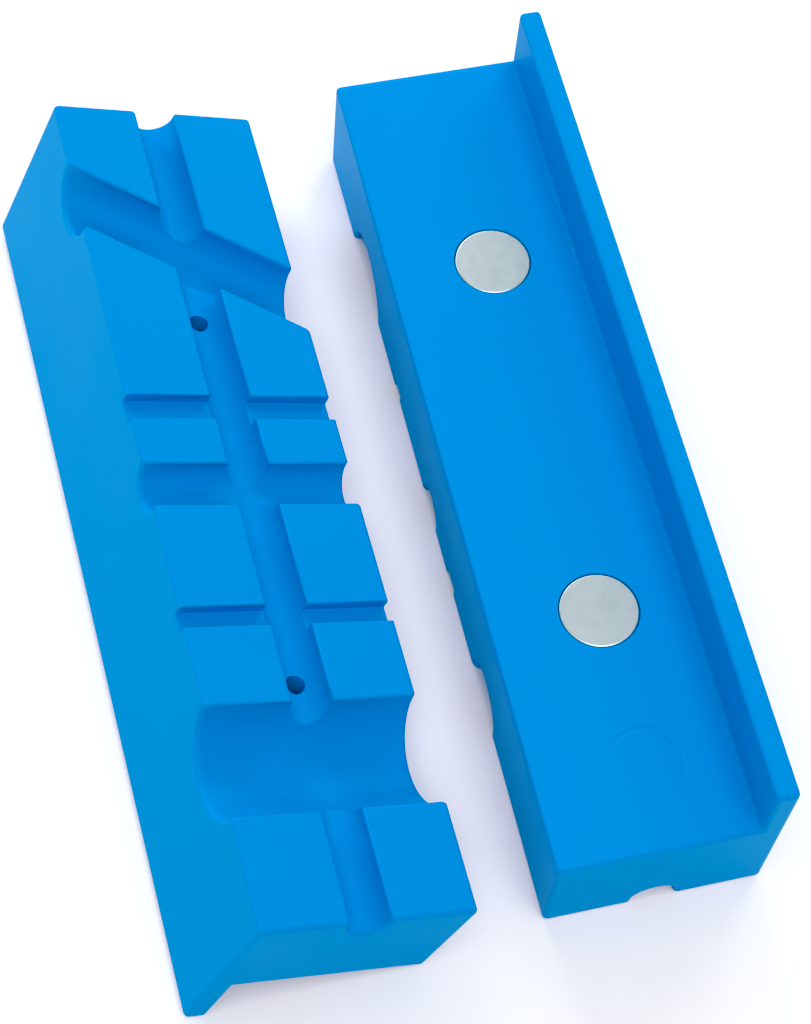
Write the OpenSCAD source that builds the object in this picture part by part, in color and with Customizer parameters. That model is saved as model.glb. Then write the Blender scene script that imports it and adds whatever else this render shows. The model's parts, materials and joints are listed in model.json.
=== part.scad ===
// A pair of magnetic soft jaw pads for a bench vise, lying side by side on a bench.
// Each pad is one moulded L-shaped block. Its gripping face is cut by grooves, its back
// is flat and holds two disc magnets, and its lip hooks over the top of the vise jaw.
// The two pads are mirror images, so that their grooves meet when they face each other.
//
// A pad is drawn in its own axes: X across the gripping face from the lip's outer side,
// Y along the pad from its middle, and Z out of the gripping face, which lies at Z = 0.
// The end with the pipe groove is the pad's -Y end.

/* [Pad] */
// Length of a pad, along the vise jaw
pad_length = 140; // [130:1:160]
// Height of the gripping face, with the edge of the lip
pad_height = 33.5; // [32:0.5:40]
// Thickness of the block, from gripping face to back
pad_thickness = 19.5; // [18:0.5:24]
// How far the lip reaches past the back, over the jaw
lip_reach = 11.5; // [9:0.5:14]
// Wall of the lip
lip_wall = 3.5; // [3:0.1:5]
// Rounding of the long outer edges
edge_radius = 0.8; // [0.4:0.1:1.2]
// Fillet where the lip leaves the back
root_radius = 1.2; // [0.6:0.1:2]

/* [Round grooves] */
// Diameter of the pipe groove
pipe_bore = 17; // [14:0.5:18]
// Depth of the pipe groove
pipe_depth = 7.5; // [6:0.1:8]
// Place of the pipe groove along the pad
pipe_place = -44.5; // [-46:0.5:-42]
// Width of the middle groove
middle_width = 7; // [5:0.5:8]
// Depth of the middle groove
middle_depth = 4; // [3:0.1:5]
// Width of the slanting groove, across its own run
slant_width = 10; // [8:0.5:11]
// Depth of the slanting groove
slant_depth = 6; // [5:0.1:7]
// Place of the slanting groove along the pad, on the pad's centre line
slant_place = 43; // [42:0.5:45]
// Angle of the slanting groove from the cross grooves
slant_angle = 29; // [20:1:32]
// Width of the long groove, which runs the whole length
long_width = 6.5; // [5:0.5:8]
// Depth of the long groove
long_depth = 4; // [3:0.1:5]

/* [Square grooves] */
// Width of the wider square groove
wide_slot = 4; // [3:0.1:5]
// Place of the wider square groove along the pad
wide_slot_place = 13.5; // [12:0.5:16]
// Width of the narrower square groove
narrow_slot = 3.2; // [2.5:0.1:4]
// Place of the narrower square groove along the pad
narrow_slot_place = -22; // [-24:0.5:-20]
// Depth of both square grooves
slot_depth = 2; // [1.5:0.1:2.5]

/* [Magnets] */
// Diameter of a magnet
magnet_diameter = 12; // [10:0.5:15]
// Thickness of a magnet
magnet_thickness = 5; // [3:0.5:6]
// Distance between the two magnets of a pad
magnet_spacing = 63; // [60:1:66]
// Bevel round a magnet's edges
magnet_bevel = 0.3; // [0.2:0.1:0.5]
// How far a magnet's face lies below the back
magnet_recess = 0.1; // [0:0.05:0.3]
// Clearance all round a magnet, filled with adhesive
pocket_clearance = 0.05; // [0.02:0.01:0.1]
// Diameter of the pinhole behind a magnet
pinhole_diameter = 3; // [2:0.5:4]

/* [Moulding mark] */
// Diameter of the faint ring on the back
mark_diameter = 11; // [9:0.5:12]
// Width of the ring's line
mark_line = 0.6; // [0.4:0.1:1]
// Depth of the ring's line
mark_depth = 0.15; // [0.1:0.05:0.3]
// Distance from the ring's centre to the pad's end
mark_from_end = 13.5; // [10:0.5:16]

/* [Layout] */
// Distance between the two lips' outer top edges, across the bench
pads_apart = 76.5; // [70:0.5:120]
// How much further along the bench the right pad lies
right_pad_ahead = 1.5; // [0:0.5:5]
// Turn of the right pad on the bench, clockwise from above
right_pad_turn = 1.3; // [0:0.1:5]

/* [Hidden] */
$fn = 64;
over = 1;
edge_fn = 32;
pad_blue = "dodgerblue";
magnet_silver = "silver";

end = pad_length / 2;
centre_line = pad_height / 2;
pad_depth = pad_thickness + lip_reach;
pipe_end = -1;
slant_end = 1;

// The left pad lies on the lip's inner tip edge and the back's outer edge.
rest_tilt = atan(lip_reach / (pad_height - lip_wall));
edge_loss = edge_radius * (sin(rest_tilt) + cos(rest_tilt) - 1);
left_pad_lift = lip_wall * sin(rest_tilt) + pad_depth * cos(rest_tilt) - edge_loss;

// The box round both pads, from the left pad's lip tip and the right pad's far corners
x_low = edge_loss - pad_depth * sin(rest_tilt);
x_high = pads_apart + pad_length * sin(right_pad_turn);
y_low = 0;
y_high = right_pad_ahead + pad_length * cos(right_pad_turn) + pad_height * sin(right_pad_turn);

// Draws its children, in a pad's own axes, where the left pad lies: gripping face up.
module on_left() {
    translate([-(x_low + x_high) / 2, end - (y_low + y_high) / 2, left_pad_lift])
        rotate([0, rest_tilt, 0])
            children();
}

// Draws its children, in a pad's own axes, where the right pad lies: gripping face down.
// The right pad is the left one's mirror image along the pad.
module on_right() {
    translate([pads_apart - (x_low + x_high) / 2, right_pad_ahead - (y_low + y_high) / 2, 0])
        rotate([0, 0, -right_pad_turn])
            translate([0, end, 0])
                rotate([0, 180, 0])
                    mirror([0, 1, 0])
                        children();
}

// A rectangle with round corners, its low corner at the origin
module round_rectangle(width, height, radius) {
    translate([radius, 0]) square([width - 2 * radius, height]);
    translate([0, radius]) square([width, height - 2 * radius]);
    for (x = [radius, width - radius], y = [radius, height - radius])
        translate([x, y]) circle(radius, $fn = edge_fn);
}

// The pad's section, with the lip's outer side at X = 0 and the gripping face at Y = 0
module pad_section() {
    translate([0, -pad_thickness]) round_rectangle(pad_height, pad_thickness, edge_radius);
    translate([0, -pad_depth]) round_rectangle(lip_wall, pad_depth, edge_radius);
    translate([0, -pad_thickness]) square([lip_wall, pad_thickness - edge_radius]);
    difference() {
        translate([lip_wall - over, -pad_thickness - root_radius])
            square([root_radius + over, root_radius + over]);
        translate([lip_wall + root_radius, -pad_thickness - root_radius])
            circle(root_radius, $fn = edge_fn);
    }
}

// The pad before its grooves and pockets
module pad_block() {
    translate([0, end, 0])
        rotate([90, 0, 0])
            linear_extrude(pad_length) pad_section();
}

// A groove along X with a round floor, centred on the origin and open above Z = 0
module round_groove(width, depth, run) {
    radius = width / 2;
    translate([-run / 2, 0, radius - depth])
        rotate([0, 90, 0]) cylinder(r = radius, h = run);
    if (depth > radius)
        translate([-run / 2, -radius, radius - depth]) cube([run, width, depth - radius + over]);
}

// A groove along X with square corners, centred on the origin and open above Z = 0
module square_groove(width, depth, run) {
    translate([-run / 2, -width / 2, -depth]) cube([run, width, depth + over]);
}

// Every groove of the gripping face
module grooves() {
    across = pad_height + 2 * over;
    slant_run = (pad_height + slant_width) / cos(slant_angle) + 2 * over;
    translate([centre_line, pipe_place, 0]) round_groove(pipe_bore, pipe_depth, across);
    translate([centre_line, 0, 0]) round_groove(middle_width, middle_depth, across);
    translate([centre_line, slant_place, 0])
        rotate([0, 0, -slant_angle]) round_groove(slant_width, slant_depth, slant_run);
    translate([centre_line, wide_slot_place, 0]) square_groove(wide_slot, slot_depth, across);
    translate([centre_line, narrow_slot_place, 0]) square_groove(narrow_slot, slot_depth, across);
    translate([centre_line, 0, 0])
        rotate([0, 0, 90]) round_groove(long_width, long_depth, pad_length + 2 * over);
}

// Where a magnet's pocket floor meets the pinhole, for one end of the pad
module at_magnet(which_end) {
    translate([centre_line, which_end * magnet_spacing / 2, -pad_thickness])
        children();
}

// The pocket that a magnet sits in, and the pinhole from its floor to the long groove
module magnet_pocket() {
    pocket_depth = magnet_thickness + magnet_recess;
    translate([0, 0, -over])
        cylinder(d = magnet_diameter + 2 * pocket_clearance, h = pocket_depth + over);
    cylinder(d = pinhole_diameter, h = pad_thickness);
}

// The faint ring that the mould leaves on the back
module moulding_mark() {
    translate([centre_line, end - mark_from_end, -pad_thickness - over])
        difference() {
            cylinder(d = mark_diameter + mark_line, h = mark_depth + over);
            translate([0, 0, -over])
                cylinder(d = mark_diameter - mark_line, h = mark_depth + 3 * over);
        }
}

// One moulded pad
module jaw_pad() {
    color(pad_blue)
        difference() {
            pad_block();
            grooves();
            for (which_end = [pipe_end, slant_end]) at_magnet(which_end) magnet_pocket();
            moulding_mark();
        }
}

// One disc magnet in its pocket
module magnet(which_end) {
    radius = magnet_diameter / 2;
    color(magnet_silver)
        at_magnet(which_end)
            translate([0, 0, magnet_recess])
                rotate_extrude()
                    polygon([
                        [0, 0],
                        [radius - magnet_bevel, 0],
                        [radius, magnet_bevel],
                        [radius, magnet_thickness - magnet_bevel],
                        [radius - magnet_bevel, magnet_thickness],
                        [0, magnet_thickness]]);
}

module left_jaw_pad() {
    on_left() jaw_pad();
}

module right_jaw_pad() {
    on_right() jaw_pad();
}

module left_pad_magnet_pipe_end() {
    on_left() magnet(pipe_end);
}

module left_pad_magnet_slant_end() {
    on_left() magnet(slant_end);
}

module right_pad_magnet_pipe_end() {
    on_right() magnet(pipe_end);
}

module right_pad_magnet_slant_end() {
    on_right() magnet(slant_end);
}

left_jaw_pad();
right_jaw_pad();
left_pad_magnet_pipe_end();
left_pad_magnet_slant_end();
right_pad_magnet_pipe_end();
right_pad_magnet_slant_end();
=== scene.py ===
"""A pair of magnetic soft jaw pads for a bench vise, laid out on a pale studio floor.

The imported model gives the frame. Each pad is modelled in its own axes, in millimetres: X across the gripping
face from the lip's outer side, Y along the pad from its middle towards the slanting groove, and Z out of the
gripping face, which lies at Z = 0. The pad's seats and magnets in the frame then say where those axes lie.
"""

import json
import logging
import math
from dataclasses import dataclass
from enum import Enum
from typing import Any

import bmesh
import bpy
from mathutils import Matrix, Vector

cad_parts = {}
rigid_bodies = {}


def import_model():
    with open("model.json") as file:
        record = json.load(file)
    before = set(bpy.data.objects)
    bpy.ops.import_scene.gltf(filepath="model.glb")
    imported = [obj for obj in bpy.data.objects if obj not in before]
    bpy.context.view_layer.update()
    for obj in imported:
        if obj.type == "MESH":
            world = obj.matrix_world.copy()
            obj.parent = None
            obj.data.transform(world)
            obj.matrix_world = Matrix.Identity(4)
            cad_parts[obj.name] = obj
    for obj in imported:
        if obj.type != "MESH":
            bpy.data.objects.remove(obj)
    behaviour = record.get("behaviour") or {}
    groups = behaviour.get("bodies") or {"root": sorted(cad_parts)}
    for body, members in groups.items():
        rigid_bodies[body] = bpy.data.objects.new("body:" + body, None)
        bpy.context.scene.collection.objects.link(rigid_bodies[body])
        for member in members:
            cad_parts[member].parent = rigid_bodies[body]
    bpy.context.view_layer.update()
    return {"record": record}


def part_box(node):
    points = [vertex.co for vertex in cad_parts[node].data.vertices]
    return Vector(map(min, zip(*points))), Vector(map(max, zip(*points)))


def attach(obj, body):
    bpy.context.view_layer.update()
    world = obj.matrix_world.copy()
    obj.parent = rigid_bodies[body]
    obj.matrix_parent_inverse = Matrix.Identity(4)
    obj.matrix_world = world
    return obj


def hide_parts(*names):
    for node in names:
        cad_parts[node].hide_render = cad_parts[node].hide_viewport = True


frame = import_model()

LOG = logging.getLogger("jaw_pads")
MM = 0.001
QUARTER = math.pi / 2

# How far a cutter reaches past what it cuts, in millimetres
OVER = 1.0
# How many facets a round groove's floor and a hole have
ARC_STEPS = 40
HOLE_STEPS = 48
# Corners closer together than this are one, in millimetres
WELD = 0.002
# How far from the gripping face's plane a corner of that face may lie, in millimetres
FLATNESS = 0.01


# ---------------------------------------------------------------- meshes


def solid_from(bm: bmesh.types.BMesh, name: str) -> bpy.types.Object:
    """Links a new object that holds a bmesh's shape, and frees the bmesh.

    Args:
        bm: The shape.
        name: The object's name.

    Returns:
        The new object.
    """
    mesh = bpy.data.meshes.new(name)
    bm.to_mesh(mesh)
    bm.free()
    made = bpy.data.objects.new(name, mesh)
    bpy.context.scene.collection.objects.link(made)
    return made


def settle(piece: bpy.types.Object) -> None:
    """Replaces a piece's mesh by what its modifiers make of it.

    Args:
        piece: The object, which keeps no modifier.
    """
    depsgraph = bpy.context.evaluated_depsgraph_get()
    settled = bpy.data.meshes.new_from_object(piece.evaluated_get(depsgraph))
    worn_out = piece.data
    piece.modifiers.clear()
    piece.data = settled
    bpy.data.meshes.remove(worn_out)


def number_faces(bm: bmesh.types.BMesh, cut: "Cut") -> None:
    """Gives every face the number of the cut that makes it."""
    for face in bm.faces:
        face.material_index = cut.value


def extrude_section(bm: bmesh.types.BMesh, run: Vector) -> None:
    """Closes the bmesh's outline to a face, and draws it out along a vector into a closed solid.

    Args:
        bm: A bmesh that holds one closed loop of edges.
        run: How far and which way the section is drawn out.
    """
    bmesh.ops.edgeloop_fill(bm, edges=bm.edges[:])
    drawn = bmesh.ops.extrude_face_region(bm, geom=bm.faces[:])
    far_end = [part for part in drawn["geom"] if isinstance(part, bmesh.types.BMVert)]
    bmesh.ops.translate(bm, verts=far_end, vec=run)
    bmesh.ops.recalc_face_normals(bm, faces=bm.faces[:])


class Cut(Enum):
    """What makes a face of a pad. Its value is the face's material number until the edges are rounded."""

    OUTSIDE = 0
    ROUND_GROOVE = 1
    SQUARE_GROOVE = 2
    PINHOLE = 3
    POCKET = 4
    MARK = 5


class MagnetEnd(Enum):
    """The end of a pad that a magnet is nearer to, in the frame's own words."""

    PIPE = "pipe_end"
    SLANT = "slant_end"


# ---------------------------------------------------------------- shader maths


class Value:
    """A number socket that takes part in arithmetic, each operation adding a Math node."""

    def __init__(self, finish: "FinishNodes", socket: bpy.types.NodeSocket) -> None:
        """Wraps a socket of a finish's node tree."""
        self.finish = finish
        self.socket = socket

    def __add__(self, other: "Value | float") -> "Value":
        """Self plus other."""
        return self.finish.maths("ADD", self, other)

    def __sub__(self, other: "Value | float") -> "Value":
        """Self minus other."""
        return self.finish.maths("SUBTRACT", self, other)

    def __rsub__(self, other: float) -> "Value":
        """Other minus self."""
        return self.finish.maths("SUBTRACT", other, self)

    def __mul__(self, other: "Value | float") -> "Value":
        """Self times other."""
        return self.finish.maths("MULTIPLY", self, other)

    __radd__ = __add__
    __rmul__ = __mul__


class FinishNodes:
    """A material's node tree, built from one Principled shader outwards."""

    def __init__(self, name: str) -> None:
        """Starts a material with its shader wired to the output.

        Args:
            name: The material's name.
        """
        self.material = bpy.data.materials.new(name)
        self.material.use_nodes = True
        self.tree = self.material.node_tree
        self.tree.nodes.clear()
        self.shader = self.node("ShaderNodeBsdfPrincipled")
        output = self.node("ShaderNodeOutputMaterial")
        self.tree.links.new(self.shader.outputs["BSDF"], output.inputs["Surface"])
        self.place = self.node("ShaderNodeTexCoord").outputs["Object"]

    def node(
        self, kind: str, settings: dict[str, Any] | None = None, sockets: dict[str | int, Any] | None = None
    ) -> bpy.types.Node:
        """Adds a node, sets it, then fills or links its sockets.

        Args:
            kind: The node's type.
            settings: The node's own settings; "stops" holds a colour ramp's (position, grey) pairs.
            sockets: What goes into each socket, by name or number: a number, a colour, a socket or a Value.

        Returns:
            The node.
        """
        made = self.tree.nodes.new(kind)
        for name, setting in (settings or {}).items():
            if name == "stops":
                self.set_stops(made.color_ramp, setting)
            else:
                setattr(made, name, setting)
        for name, content in (sockets or {}).items():
            self.feed(made.inputs[name], content)
        return made

    def feed(self, socket: bpy.types.NodeSocket, content: Any) -> None:
        """Links a socket to a Value or another socket, or sets its number or colour.

        Args:
            socket: The input socket that is filled.
            content: A Value, an output socket, a number, a vector or a colour.
        """
        if isinstance(content, Value):
            content = content.socket
        if isinstance(content, bpy.types.NodeSocket):
            self.tree.links.new(content, socket)
        else:
            socket.default_value = content

    def set_stops(self, ramp: bpy.types.ColorRamp, stops: tuple[tuple[float, float], ...]) -> None:
        """Sets a colour ramp's stops.

        Args:
            ramp: The ramp, which starts with two stops.
            stops: Two or more (position, grey) pairs.
        """
        while len(ramp.elements) < len(stops):
            ramp.elements.new(0.5)
        for element, (position, grey) in zip(ramp.elements, stops):
            element.position = position
            element.color = (grey, grey, grey, 1.0)

    def maths(self, operation: str, first: Value | float, second: Value | float) -> Value:
        """One Math node's result for two values or numbers."""
        made = self.node("ShaderNodeMath", {"operation": operation}, {0: first, 1: second})
        return Value(self, made.outputs[0])

    def noise(
        self,
        grain: float,
        detail: float = 2.0,
        roughness: float = 0.5,
        stretch: tuple[float, float, float] = (1, 1, 1),
    ) -> Value:
        """Noise from 0 to 1 over the surface.

        Args:
            grain: The size of one blot, in millimetres.
            detail: How many finer octaves are added.
            roughness: How strong each finer octave is.
            stretch: How many times longer a blot is along each axis.

        Returns:
            The noise.
        """
        scale = Vector(1 / (grain * MM * part) for part in stretch)
        mapping = self.node("ShaderNodeMapping", None, {"Vector": self.place, "Scale": scale})
        made = self.node(
            "ShaderNodeTexNoise",
            None,
            {"Vector": mapping.outputs[0], "Scale": 1.0, "Detail": detail, "Roughness": roughness},
        )
        return Value(self, made.outputs[0])

    def ramp(self, factor: Value, stops: tuple[tuple[float, float], ...]) -> Value:
        """A value read through a ramp of (position, grey) stops."""
        made = self.node("ShaderNodeValToRGB", {"stops": stops}, {0: factor})
        return Value(self, made.outputs[0])

    def blend(
        self, factor: Value, low: tuple[float, float, float], high: tuple[float, float, float]
    ) -> bpy.types.NodeSocket:
        """Mixes two colours.

        Args:
            factor: How much of the second colour there is, from 0 to 1.
            low: The colour where the factor is 0.
            high: The colour where the factor is 1.

        Returns:
            The mixed colour's socket.
        """
        made = self.node(
            "ShaderNodeMix", {"data_type": "RGBA"}, {0: factor, 6: (*low, 1.0), 7: (*high, 1.0)}
        )
        return made.outputs[2]

    def bump(self, height: Value, distance: float) -> bpy.types.NodeSocket:
        """The normal over a height map.

        Args:
            height: The height, in units of distance.
            distance: What a height of 1 stands for, in millimetres.

        Returns:
            The bumped normal.
        """
        made = self.node(
            "ShaderNodeBump", None, {"Strength": 1.0, "Distance": distance * MM, "Height": height}
        )
        return made.outputs[0]

    def wire(self, **sockets: Any) -> None:
        """Feeds the shader's sockets. An underscore in a keyword stands for a space in the socket's name."""
        for name, content in sockets.items():
            self.feed(self.shader.inputs[name.replace("_", " ")], content)


# ---------------------------------------------------------------- finishes


@dataclass(frozen=True)
class MouldedPolyurethane:
    """The firm blue elastomer of the pads, straight from a lightly textured mould."""

    name: str = "moulded_polyurethane"
    blue: tuple[float, float, float] = (0.0, 0.232, 0.635)
    deep_blue: tuple[float, float, float] = (0.0, 0.22, 0.612)
    roughness: float = 0.44
    roughness_play: float = 0.1
    scuff_roughness: float = 0.08
    cloud_size: float = 22.0
    grain_size: float = 0.35
    grain_height: float = 0.006
    sink_size: float = 26.0
    sink_height: float = 0.12
    scuff_size: float = 1.1
    scuff_stretch: tuple[float, float, float] = (1, 9, 1)
    scuff_stops: tuple[tuple[float, float], ...] = ((0.62, 0.0), (0.8, 1.0))
    refraction: float = 1.5
    gloss: float = 0.22
    gloss_tint: tuple[float, float, float] = (0.15, 0.6, 1.0)

    def make(self) -> bpy.types.Material:
        """Mixes cloudy blues, mould grain, soft sink marks and faint scuffs.

        Returns:
            The satin blue material.
        """
        nodes = FinishNodes(self.name)
        clouds = nodes.noise(self.cloud_size, detail=3, roughness=0.55)
        grain = nodes.noise(self.grain_size, detail=3, roughness=0.6)
        sinks = nodes.noise(self.sink_size, detail=1)
        streaks = nodes.noise(self.scuff_size, detail=4, roughness=0.7, stretch=self.scuff_stretch)
        scuffs = nodes.ramp(streaks, self.scuff_stops)
        play = (clouds - 0.5) * self.roughness_play
        height = grain * self.grain_height + sinks * self.sink_height - scuffs * self.grain_height
        nodes.wire(
            Base_Color=nodes.blend(clouds, self.deep_blue, self.blue),
            Roughness=self.roughness + play + scuffs * self.scuff_roughness,
            Normal=nodes.bump(height, distance=1.0),
            IOR=self.refraction,
            Specular_IOR_Level=self.gloss,
            Specular_Tint=(*self.gloss_tint, 1.0),
        )
        return nodes.material


@dataclass(frozen=True)
class NickelPlate:
    """The bright plating of a disc magnet, ground flat under it."""

    name: str = "nickel_plate"
    light: tuple[float, float, float] = (0.64, 0.77, 0.80)
    dark: tuple[float, float, float] = (0.42, 0.56, 0.60)
    roughness: float = 0.4
    grain_roughness: float = 0.2
    blot_roughness: float = 0.1
    grain_size: float = 0.45
    grain_height: float = 0.01
    grain_share: float = 0.6
    blot_size: float = 2.4
    line_size: float = 0.3
    line_stretch: tuple[float, float, float] = (1, 14, 1)
    line_depth: float = 0.5
    pit_size: float = 0.5
    pit_stops: tuple[tuple[float, float], ...] = ((0.22, 1.0), (0.28, 0.0))

    def make(self) -> bpy.types.Material:
        """Mixes the grain, blots, lines and pits of a barrel-plated face.

        Returns:
            The silvery metal material.
        """
        nodes = FinishNodes(self.name)
        grain = nodes.noise(self.grain_size, detail=4, roughness=0.7)
        blots = nodes.noise(self.blot_size, detail=3)
        lines = nodes.noise(self.line_size, detail=2, stretch=self.line_stretch)
        pits = nodes.ramp(nodes.noise(self.pit_size, detail=1), self.pit_stops)
        lightness = grain * self.grain_share + blots * (1 - self.grain_share)
        play = (grain - 0.5) * self.grain_roughness + (blots - 0.5) * self.blot_roughness
        nodes.wire(
            Base_Color=nodes.blend(lightness, self.dark, self.light),
            Metallic=1.0,
            Roughness=self.roughness + play,
            Normal=nodes.bump(grain + lines * self.line_depth - pits, distance=self.grain_height),
        )
        return nodes.material


@dataclass(frozen=True)
class StudioPaper:
    """The matt pale sheet that the pads lie on."""

    name: str = "studio_paper"
    light: tuple[float, float, float] = (0.97, 0.97, 0.97)
    dark: tuple[float, float, float] = (0.95, 0.95, 0.95)
    mottle_size: float = 60.0
    roughness: float = 0.9
    gloss: float = 0.1

    def make(self) -> bpy.types.Material:
        """Mottles the paper very slightly.

        Returns:
            The near-white matt material.
        """
        nodes = FinishNodes(self.name)
        nodes.wire(
            Base_Color=nodes.blend(nodes.noise(self.mottle_size, detail=3), self.dark, self.light),
            Roughness=self.roughness,
            Specular_IOR_Level=self.gloss,
        )
        return nodes.material


# ---------------------------------------------------------------- the pads' shape


@dataclass(frozen=True)
class RoundGroove:
    """A groove with a round floor, and straight walls above it where it is deeper than its radius."""

    width: float
    depth: float
    place: float = 0.0
    turn: float = 0.0

    def cutter(self, centre_line: float, run: float) -> bmesh.types.BMesh:
        """The solid that cuts the groove.

        Args:
            centre_line: Where the gripping face's middle is, across the pad.
            run: How long the cutter is.

        Returns:
            The cutter in the pad's axes.
        """
        radius = self.width / 2
        centre = radius - self.depth
        shoulder = min(centre, 0.0)
        half_width = math.sqrt(radius**2 - (centre - shoulder) ** 2)
        sweep = 2 * math.acos(max(centre, 0.0) / radius)
        bm = bmesh.new()
        first = bm.verts.new((-run / 2, half_width, shoulder))
        bmesh.ops.spin(
            bm, geom=[first], cent=(0, 0, centre), axis=(-1, 0, 0), angle=sweep, steps=ARC_STEPS,
            use_duplicate=False,
        )
        ends = [vert for vert in bm.verts if len(vert.link_edges) == 1]
        raised = bmesh.ops.extrude_vert_indiv(bm, verts=ends)["verts"]
        bmesh.ops.translate(bm, verts=raised, vec=(0, 0, OVER - shoulder))
        bmesh.ops.contextual_create(bm, geom=raised)
        extrude_section(bm, Vector((run, 0, 0)))
        bmesh.ops.rotate(bm, verts=bm.verts[:], cent=(0, 0, 0), matrix=Matrix.Rotation(self.turn, 3, "Z"))
        bmesh.ops.translate(bm, verts=bm.verts[:], vec=(centre_line, self.place, 0))
        number_faces(bm, Cut.ROUND_GROOVE)
        return bm


@dataclass(frozen=True)
class SquareGroove:
    """A shallow groove across the pad with a flat floor."""

    width: float
    depth: float
    place: float

    def cutter(self, centre_line: float, run: float) -> bmesh.types.BMesh:
        """The box that cuts the groove.

        Args:
            centre_line: Where the gripping face's middle is, across the pad.
            run: How long the box is.

        Returns:
            The cutter in the pad's axes.
        """
        bm = bmesh.new()
        size = Matrix.Diagonal((run, self.width, self.depth + OVER, 1))
        middle = Matrix.Translation((centre_line, self.place, (OVER - self.depth) / 2))
        bmesh.ops.create_cube(bm, size=1.0, matrix=middle @ size)
        number_faces(bm, Cut.SQUARE_GROOVE)
        return bm


@dataclass(frozen=True)
class Rounding:
    """How far the moulding's edges are rounded, in millimetres, by what meets at the edge.

    An outline is where a groove runs out at a side or an end of the pad, and a rim is where it meets the
    gripping face. An edge that turns by less than least_angle isn't rounded.
    """

    outer_edge: float = 0.8
    lip_root: float = 1.5
    groove_outline: float = 0.85
    groove_rim: float = 0.4
    square_outline: float = 0.3
    square_rim: float = 0.22
    square_corner: float = 0.2
    pocket_rim: float = 0.15
    segments: int = 4
    least_angle: float = math.radians(28)


@dataclass
class JawPad:
    """One moulded pad, with its sizes in millimetres, and where it lies."""

    side: str
    body: str
    mirrored: bool
    length: float = 140.0
    height: float = 33.5
    thickness: float = 19.5
    lip_reach: float = 11.5
    lip_wall: float = 3.5
    rounding: Rounding = Rounding()
    long_groove: RoundGroove = RoundGroove(width=6.5, depth=4.1, turn=QUARTER)
    round_grooves: tuple[RoundGroove, ...] = (
        RoundGroove(width=17.0, depth=7.5, place=-44.5),
        RoundGroove(width=7.0, depth=4.0),
        RoundGroove(width=10.0, depth=6.0, place=43.0, turn=math.radians(-29)),
    )
    square_grooves: tuple[SquareGroove, ...] = (
        SquareGroove(width=4.0, depth=2.0, place=13.5),
        SquareGroove(width=3.2, depth=2.0, place=-22.0),
    )
    magnet_spacing: float = 63.0
    magnet_depth: float = 5.1
    pocket_diameter: float = 12.2
    pinhole_diameter: float = 3.0
    mark_diameter: float = 11.0
    mark_depth: float = 0.05
    mark_tilt: float = math.radians(1.3)
    mark_deep_side: tuple[float, float] = (-0.56, -0.83)
    mark_tool_radius: float = 1.1
    mark_from_end: float = 13.5

    @property
    def centre_line(self) -> float:
        """Where the middle of the gripping face is, across the pad."""
        return self.height / 2

    @property
    def magnet_places(self) -> tuple[float, float]:
        """Where the magnets are along the pad: pipe groove end, then slanting groove end."""
        return -self.magnet_spacing / 2, self.magnet_spacing / 2

    def block(self) -> bmesh.types.BMesh:
        """Draws the L-shaped section out along the pad.

        Returns:
            The block in the pad's axes, before anything is cut into it.
        """
        depth = self.thickness + self.lip_reach
        corners = (
            (0, 0), (self.height, 0), (self.height, -self.thickness), (self.lip_wall, -self.thickness),
            (self.lip_wall, -depth), (0, -depth),
        )
        bm = bmesh.new()
        verts = [bm.verts.new((x, -self.length / 2, z)) for x, z in corners]
        for vert, after in zip(verts, verts[1:] + verts[:1]):
            bm.edges.new((vert, after))
        extrude_section(bm, Vector((0, self.length, 0)))
        return bm

    def round_hole(
        self, diameter: float, low: float, high: float, along: float, cut: Cut
    ) -> bmesh.types.BMesh:
        """The cylinder that cuts a hole on the centre line.

        Args:
            diameter: The hole's diameter.
            low: The height of the cylinder's lower end.
            high: The height of its upper end.
            along: Where the hole is along the pad.
            cut: What the hole is for.

        Returns:
            The cutter in the pad's axes.
        """
        bm = bmesh.new()
        bmesh.ops.create_cone(
            bm, cap_ends=True, segments=HOLE_STEPS, radius1=diameter / 2, radius2=diameter / 2,
            depth=high - low, matrix=Matrix.Translation((self.centre_line, along, (low + high) / 2)),
        )
        number_faces(bm, cut)
        return bm

    def mark(self) -> bmesh.types.BMesh:
        """The tilted ring that leaves the mould's faint half-circle in the back.

        Returns:
            The cutter in the pad's axes.
        """
        tool = self.mark_tool_radius
        toward, aside = self.mark_deep_side
        low = self.mark_depth - self.thickness - tool
        place = Matrix.Translation((self.centre_line, self.length / 2 - self.mark_from_end, low))
        tilt = Matrix.Rotation(self.mark_tilt, 4, Vector((aside, -toward, 0)))
        upright = Matrix.Translation((self.mark_diameter / 2, 0, 0)) @ Matrix.Rotation(QUARTER, 4, "X")
        bm = bmesh.new()
        bmesh.ops.create_circle(bm, segments=HOLE_STEPS, radius=tool, matrix=upright)
        bmesh.ops.spin(
            bm, geom=bm.edges[:], cent=(0, 0, 0), axis=(0, 0, 1), angle=math.tau, steps=2 * HOLE_STEPS,
            use_merge=True, use_duplicate=False,
        )
        bmesh.ops.recalc_face_normals(bm, faces=bm.faces[:])
        bmesh.ops.transform(bm, matrix=place @ tilt, verts=bm.verts[:])
        number_faces(bm, Cut.MARK)
        return bm

    def cutters(self) -> list[bmesh.types.BMesh]:
        """Makes every solid that is cut from the block.

        Returns:
            The cutters in the pad's axes.
        """
        across = self.height + 2 * OVER
        made = [self.long_groove.cutter(self.centre_line, self.length + 2 * OVER)]
        for groove in self.round_grooves:
            made.append(groove.cutter(self.centre_line, 2 * across if groove.turn else across))
        made += [groove.cutter(self.centre_line, across) for groove in self.square_grooves]
        mouth = -self.thickness - OVER
        floor = self.magnet_depth - self.thickness
        for along in self.magnet_places:
            made.append(self.round_hole(self.pocket_diameter, mouth, floor, along, Cut.POCKET))
            made.append(self.round_hole(self.pinhole_diameter, floor - OVER, OVER, along, Cut.PINHOLE))
        return made + [self.mark()]

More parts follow.
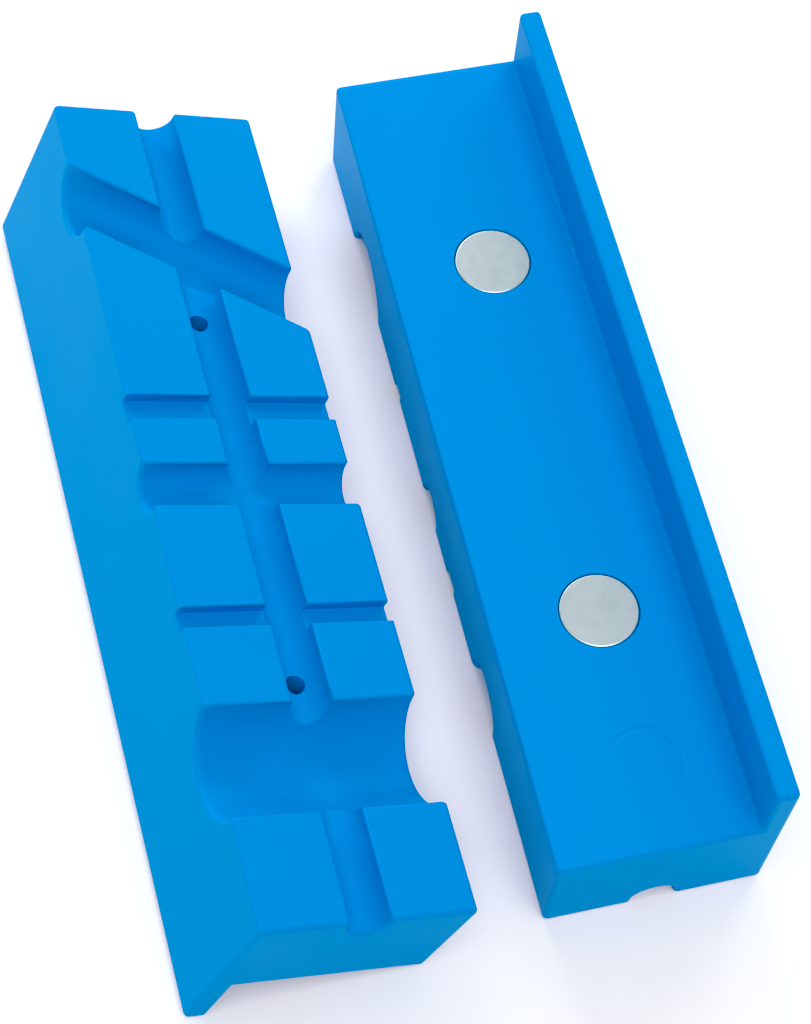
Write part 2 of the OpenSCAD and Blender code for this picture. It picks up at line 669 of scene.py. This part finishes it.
    def carve(self, block: bpy.types.Object) -> None:
        """Cuts every groove, hole and pocket from the block.

        The block and the cutters get empty material slots, so that each face keeps the number of its cut.

        Args:
            block: The block, which is changed.
        """
        used = bpy.data.collections.new(f"{self.side}_cutters")
        for number, bm in enumerate(self.cutters()):
            cutter = solid_from(bm, f"{self.side}_cutter_{number}")
            used.objects.link(cutter)
        for cut_body in (block, *used.objects):
            for _ in Cut:
                cut_body.data.materials.append(None)
        boolean = block.modifiers.new("carve", "BOOLEAN")
        boolean.operation, boolean.solver = "DIFFERENCE", "EXACT"
        boolean.operand_type, boolean.collection = "COLLECTION", used
        settle(block)
        for cutter in list(used.objects):
            bpy.data.objects.remove(cutter)
        bpy.data.collections.remove(used)

    def edge_rounding(self, edge: bmesh.types.BMEdge) -> float:
        """How far one edge is rounded.

        Args:
            edge: An edge of the carved pad.

        Returns:
            The rounding's width in millimetres, 0 for an edge that stays as it is.
        """
        if len(edge.link_faces) != 2 or edge.calc_face_angle(0) < self.rounding.least_angle:
            return 0.0
        kinds = {Cut(face.material_index) for face in edge.link_faces}
        if kinds == {Cut.OUTSIDE}:
            return self.rounding.outer_edge if edge.is_convex else self.rounding.lip_root
        on_face = all(abs(vert.co.z) < FLATNESS for vert in edge.verts)
        table = {
            frozenset({Cut.OUTSIDE, Cut.ROUND_GROOVE}):
                self.rounding.groove_rim if on_face else self.rounding.groove_outline,
            frozenset({Cut.OUTSIDE, Cut.SQUARE_GROOVE}):
                self.rounding.square_rim if on_face else self.rounding.square_outline,
            frozenset({Cut.SQUARE_GROOVE}): self.rounding.square_corner,
            frozenset({Cut.OUTSIDE, Cut.POCKET}): self.rounding.pocket_rim,
        }
        return table.get(frozenset(kinds), 0.0)

    def soften(self, block: bpy.types.Object) -> None:
        """Rounds the edges of the carved block, each by its own width, and mirrors a mirrored pad.

        Args:
            block: The carved block, which is changed.
        """
        bm = bmesh.new()
        bm.from_mesh(block.data)
        bmesh.ops.remove_doubles(bm, verts=bm.verts[:], dist=WELD)
        bmesh.ops.dissolve_degenerate(bm, edges=bm.edges[:], dist=WELD / 2)
        if self.mirrored:
            bmesh.ops.scale(bm, verts=bm.verts[:], vec=(1, -1, 1))
            bmesh.ops.reverse_faces(bm, faces=bm.faces[:])
        widest = self.rounding.lip_root
        layers = bm.edges.layers.float
        weights = layers.get("bevel_weight_edge") or layers.new("bevel_weight_edge")
        for edge in bm.edges:
            rounded = self.edge_rounding(edge)
            edge[weights] = rounded / widest
            edge.smooth = rounded > 0 or edge.calc_face_angle(0) < self.rounding.least_angle
        bm.to_mesh(block.data)
        bm.free()
        block.data.shade_smooth()
        bevel = block.modifiers.new("rounding", "BEVEL")
        bevel.limit_method, bevel.width = "WEIGHT", widest
        bevel.segments, bevel.profile = self.rounding.segments, 0.5
        bevel.use_clamp_overlap = False
        weighting = block.modifiers.new("flat_faces", "WEIGHTED_NORMAL")
        weighting.keep_sharp = True
        settle(block)

    def placement(self) -> Matrix:
        """Works out where the pad lies, from its seats and magnets in the frame.

        Returns:
            The matrix that takes a mesh in the pad's axes and millimetres to its place in the scene.
        """
        mounts = {mount["name"]: Vector(mount["axis"]) for mount in frame["record"]["mounts"]}
        ends = []
        for end in MagnetEnd:
            low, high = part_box(f"{self.side}_pad_magnet_{end.value}")
            ends.append((low + high) / 2)
        across = mounts[f"{self.side}_lip_seat"].normalized()
        up = mounts[f"{self.side}_grip_face"].normalized()
        along = (ends[1] - ends[0]).normalized() * (-1 if self.mirrored else 1)
        turn = Matrix((across, along, up)).transposed().to_4x4()
        disc_middle = DiscMagnet.thickness / 2 + DiscMagnet.recess - self.thickness
        middle = (ends[0] + ends[1]) / 2
        offset = turn @ Vector((self.centre_line, 0, disc_middle)) * MM
        return Matrix.Translation(middle - offset) @ turn @ Matrix.Scale(MM, 4)

    def make(self, finish: bpy.types.Material) -> bpy.types.Object:
        """Models the pad, dresses it and puts it in its place.

        Args:
            finish: The moulding's material.

        Returns:
            The finished piece.
        """
        pad = solid_from(self.block(), f"moulded_{self.side}_pad")
        self.carve(pad)
        self.soften(pad)
        pad.data.transform(self.placement())
        pad.data.materials.clear()
        pad.data.materials.append(finish)
        pad.data.polygons.foreach_set("material_index", [0] * len(pad.data.polygons))
        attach(pad, self.body)
        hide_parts(f"{self.side}_jaw_pad")
        return pad


@dataclass
class DiscMagnet:
    """One plated disc magnet, glued flush into a pad's back."""

    pad: JawPad
    end: MagnetEnd
    diameter: float = 12.0
    thickness: float = 5.0
    recess: float = 0.1
    rim: float = 0.3
    rim_segments: int = 5
    crease: float = math.radians(22.5)

    def make(self, finish: bpy.types.Material) -> bpy.types.Object:
        """Models the magnet with its rounded rims, dresses it and puts it in its pocket.

        Args:
            finish: The plating's material.

        Returns:
            The finished piece.
        """
        along = self.pad.magnet_places[list(MagnetEnd).index(self.end)] * (-1 if self.pad.mirrored else 1)
        low = self.recess - self.pad.thickness
        bm = bmesh.new()
        bmesh.ops.create_circle(bm, cap_ends=True, segments=2 * HOLE_STEPS, radius=self.diameter / 2)
        drawn = bmesh.ops.extrude_face_region(bm, geom=bm.faces[:])
        top = [part for part in drawn["geom"] if isinstance(part, bmesh.types.BMVert)]
        bmesh.ops.translate(bm, verts=top, vec=(0, 0, self.thickness))
        bmesh.ops.recalc_face_normals(bm, faces=bm.faces[:])
        rims = [edge for edge in bm.edges if edge.calc_face_angle(0) > self.crease]
        bmesh.ops.bevel(
            bm, geom=rims, offset=self.rim, offset_type="OFFSET", affect="EDGES", segments=self.rim_segments,
            profile=0.5, material=-1,
        )
        bmesh.ops.translate(bm, verts=bm.verts[:], vec=(self.pad.centre_line, along, low))
        for face in bm.faces:
            face.smooth = True
        for edge in bm.edges:
            edge.smooth = edge.calc_face_angle(0) < self.crease
        magnet = solid_from(bm, f"plated_magnet_{self.pad.side}_{self.end.value}")
        weighting = magnet.modifiers.new("flat_faces", "WEIGHTED_NORMAL")
        weighting.keep_sharp = True
        settle(magnet)
        magnet.data.transform(self.pad.placement())
        magnet.data.materials.append(finish)
        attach(magnet, self.pad.body)
        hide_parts(f"{self.pad.side}_pad_magnet_{self.end.value}")
        return magnet


# ---------------------------------------------------------------- the studio


@dataclass(frozen=True)
class SoftBox:
    """One square soft light, aimed at the middle of the pads."""

    name: str
    place: tuple[float, float, float]
    size: float
    power: float

    def make(self) -> bpy.types.Object:
        """Hangs the light and turns it towards the pads.

        Returns:
            The light.
        """
        light = bpy.data.lights.new(self.name, "AREA")
        light.shape, light.size, light.energy = "SQUARE", self.size, self.power
        made = bpy.data.objects.new(self.name, light)
        made.location = self.place
        made.rotation_euler = (-Vector(self.place)).to_track_quat("-Z", "Y").to_euler()
        bpy.context.scene.collection.objects.link(made)
        return made


@dataclass(frozen=True)
class Viewpoint:
    """The camera's place and how it is held."""

    place: tuple[float, float, float] = (-0.05976, -0.17251, 0.3336)
    heading: float = math.radians(21.45)
    downwards: float = math.radians(63.17)
    roll: float = math.radians(7.44)
    lens: float = 84.8
    rise: float = 0.098

    def make(self) -> bpy.types.Object:
        """Sets up the camera and makes it the scene's.

        Returns:
            The camera.
        """
        ahead = Vector((math.sin(self.heading), math.cos(self.heading), 0)) * math.cos(self.downwards)
        ahead.z = -math.sin(self.downwards)
        level = ahead.cross(Vector((0, 0, 1))).normalized()
        down = ahead.cross(level)
        right = level * math.cos(self.roll) - down * math.sin(self.roll)
        below = level * math.sin(self.roll) + down * math.cos(self.roll)
        camera = bpy.data.objects.new("camera", bpy.data.cameras.new("camera"))
        camera.data.lens, camera.data.shift_y = self.lens, self.rise
        camera.data.clip_start = 0.01
        turn = Matrix((right, -below, -ahead)).transposed().to_4x4()
        camera.matrix_world = Matrix.Translation(Vector(self.place)) @ turn
        bpy.context.scene.collection.objects.link(camera)
        bpy.context.scene.camera = camera
        return camera


@dataclass
class Studio:
    """The floor, the lights and the camera."""

    floor_width: float = 3.0
    floor_gap: float = 0.05
    sky: tuple[float, float, float] = (1.0, 1.0, 1.0)
    sky_strength: float = 0.3
    lights: tuple[SoftBox, ...] = (
        SoftBox("overhead_softbox", (0.0, -0.45, 0.95), 0.8, 7.3),
        SoftBox("far_softbox", (0.0, 1.0, 0.55), 0.5, 4.4),
        SoftBox("far_right_softbox", (0.7, 0.7, 0.5), 0.5, 3.2),
        SoftBox("left_softbox", (-1.0, 0.0, 0.5), 0.5, 1.1),
        SoftBox("near_right_softbox", (0.75, -0.75, 0.5), 0.5, 0.35),
        SoftBox("left_bounce_card", (-0.35, 0.4, 0.22), 0.2, 0.9),
        SoftBox("magnet_card", (0.20, 0.13, 0.53), 0.3, 0.14),
    )
    red_toe: tuple[tuple[float, float], ...] = ((0.0, 0.0), (0.07, 0.004), (0.25, 0.25), (1.0, 1.0))
    viewpoint: Viewpoint = Viewpoint()

    def floor(self) -> bpy.types.Object:
        """Lays the pale floor just under the pads.

        Returns:
            The floor.
        """
        bm = bmesh.new()
        bmesh.ops.create_grid(bm, x_segments=1, y_segments=1, size=self.floor_width / 2)
        made = solid_from(bm, "studio_floor")
        made.location.z = -self.floor_gap * MM
        made.data.materials.append(StudioPaper().make())
        return made

    def grade(self, scene: bpy.types.Scene) -> None:
        """Develops the picture with plain contrast and a soft toe on red, which keeps the blue pure.

        Args:
            scene: The scene, whose view settings are changed.
        """
        view = scene.view_settings
        view.view_transform = "Standard"
        view.use_curve_mapping = True
        red = view.curve_mapping.curves[0]
        for place, level in self.red_toe[1:-1]:
            red.points.new(place, level)
        view.curve_mapping.update()

    def make(self) -> None:
        """Sets up everything round the pads."""
        scene = bpy.context.scene
        self.grade(scene)
        self.floor()
        for light in self.lights:
            light.make()
        world = bpy.data.worlds.new("studio")
        world.use_nodes = True
        background = world.node_tree.nodes["Background"]
        background.inputs["Color"].default_value = (*self.sky, 1.0)
        background.inputs["Strength"].default_value = self.sky_strength
        scene.world = world
        self.viewpoint.make()


def main() -> None:
    """Builds the pads, their magnets and the studio, and reports each piece."""
    logging.basicConfig(level=logging.INFO, format="%(name)s: %(message)s")
    polyurethane = MouldedPolyurethane().make()
    nickel = NickelPlate().make()
    pads = (
        JawPad(side="left", body="left_pad", mirrored=False),
        JawPad(side="right", body="right_pad", mirrored=True),
    )
    for pad in pads:
        pieces = [pad.make(polyurethane)]
        pieces += [DiscMagnet(pad, end).make(nickel) for end in MagnetEnd]
        for piece in pieces:
            LOG.info("%s: %d faces", piece.name, len(piece.data.polygons))
    Studio().make()


if __name__ == "__main__":
    main()
